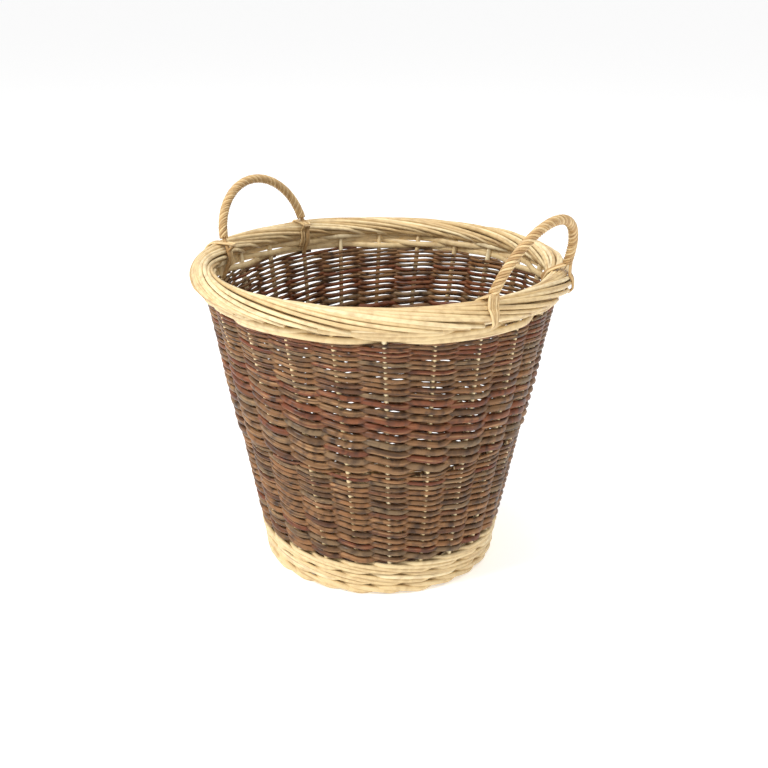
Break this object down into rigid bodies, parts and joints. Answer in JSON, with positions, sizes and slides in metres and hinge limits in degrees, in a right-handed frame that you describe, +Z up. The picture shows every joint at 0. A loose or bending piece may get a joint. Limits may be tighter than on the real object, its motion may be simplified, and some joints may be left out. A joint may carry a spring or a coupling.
{
  "type": "log basket",
  "caption": "Round tapered willow log basket with brown woven walls, peeled willow bands at the foot and rim, a rope-like border and two roped bow handles.",
  "frame": {"origin": "middle of the underside, on the surface that the basket stands on", "axes": "+Z up along the basket's axis; the two handles stand on +X and -X"},
  "size_m": [0.4968, 0.4968, 0.4992],
  "materials": {
    "peeled": "peeled willow, satin",
    "bark": "willow with its bark on, dry and slightly glossy",
    "willow": "buff willow, satin"
  },
  "bodies": {
    "root": {"base_stick_1": "willow", "base_stick_2": "willow", "base_stick_3": "willow", "base_stick_4": "willow", "base_stick_5": "willow", "base_stick_6": "willow", "base_binding": "willow", "base_weave": "bark", "side_stake_01": "peeled", "side_stake_02": "peeled", "side_stake_03": "peeled", "side_stake_04": "peeled", "side_stake_05": "peeled", "side_stake_06": "peeled", "side_stake_07": "peeled", "side_stake_08": "peeled", "side_stake_09": "peeled", "side_stake_10": "peeled", "side_stake_11": "peeled", "side_stake_12": "peeled", "side_stake_13": "peeled", "side_stake_14": "peeled", "side_stake_15": "peeled", "side_stake_16": "peeled", "side_stake_17": "peeled", "side_stake_18": "peeled", "side_stake_19": "peeled", "side_stake_20": "peeled", "side_stake_21": "peeled", "side_stake_22": "peeled", "side_stake_23": "peeled", "side_stake_24": "peeled", "foot_roll": "peeled", "foot_wale": "peeled", "lower_weave": "bark", "upper_weave": "bark", "top_wale": "peeled", "border": "peeled", "handle_bow_right": "willow", "handle_bow_left": "willow", "handle_rope_right": "willow", "handle_rope_left": "willow", "handle_lashing_1": "willow", "handle_lashing_2": "willow", "handle_lashing_3": "willow", "handle_lashing_4": "willow"}
  },
  "joints": []
}
